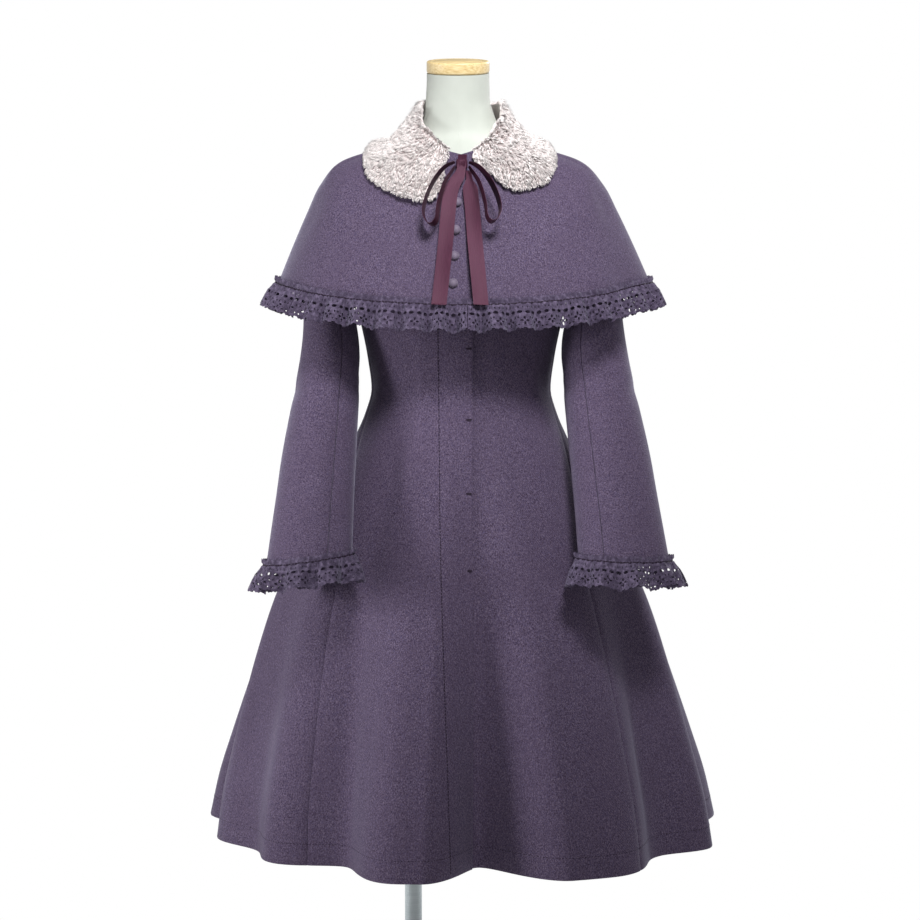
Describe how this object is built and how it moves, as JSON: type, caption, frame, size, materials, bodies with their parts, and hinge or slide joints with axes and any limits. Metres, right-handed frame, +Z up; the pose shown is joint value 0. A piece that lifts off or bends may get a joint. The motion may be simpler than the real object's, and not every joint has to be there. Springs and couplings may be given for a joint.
{
  "type": "cape coat on a dress form",
  "caption": "Fitted, flared wool coat with a buttoned shoulder cape, gathered lace trim, fur collar and ribbon bow, worn by a limbless dress form on a pole stand.",
  "frame": {"origin": "centre of the stand's underside, on the floor", "axes": "+Z up, the front faces -Y, +X is the wearer's left"},
  "size_m": [0.7609, 0.6259, 1.5317],
  "materials": {
    "plum_wool": "brushed twill with a heathered yarn",
    "violet_lace": "matt cotton lace",
    "rose_fur": "short dense pile",
    "wine_ribbon": "satin",
    "form_jersey": "fine jersey",
    "beech": "satin varnish",
    "stand_steel": "satin"
  },
  "bodies": {
    "root": {"coat_front_right": "plum_wool", "coat_front_left": "plum_wool", "coat_side_right": "plum_wool", "coat_side_left": "plum_wool", "coat_back_right": "plum_wool", "coat_back_left": "plum_wool", "sleeve_upper_right": "plum_wool", "sleeve_under_right": "plum_wool", "sleeve_upper_left": "plum_wool", "sleeve_under_left": "plum_wool", "cape_front_right": "plum_wool", "cape_front_left": "plum_wool", "cape_back": "plum_wool", "cape_button_1": "plum_wool", "cape_button_2": "plum_wool", "cape_button_3": "plum_wool", "cape_button_4": "plum_wool", "cape_lace_front_right": "violet_lace", "cape_lace_front_left": "violet_lace", "cape_lace_back_right": "violet_lace", "cape_lace_back_left": "violet_lace", "cuff_lace_front_right": "violet_lace", "cuff_lace_back_right": "violet_lace", "cuff_lace_front_left": "violet_lace", "cuff_lace_back_left": "violet_lace", "fur_collar": "rose_fur", "bow_knot": "wine_ribbon", "bow_loop_right": "wine_ribbon", "bow_loop_left": "wine_ribbon", "ribbon_tail_right": "wine_ribbon", "ribbon_tail_left": "wine_ribbon", "form_torso": "form_jersey", "neck_cap": "beech", "stand_pole": "stand_steel", "stand_base": "stand_steel"}
  },
  "joints": []
}
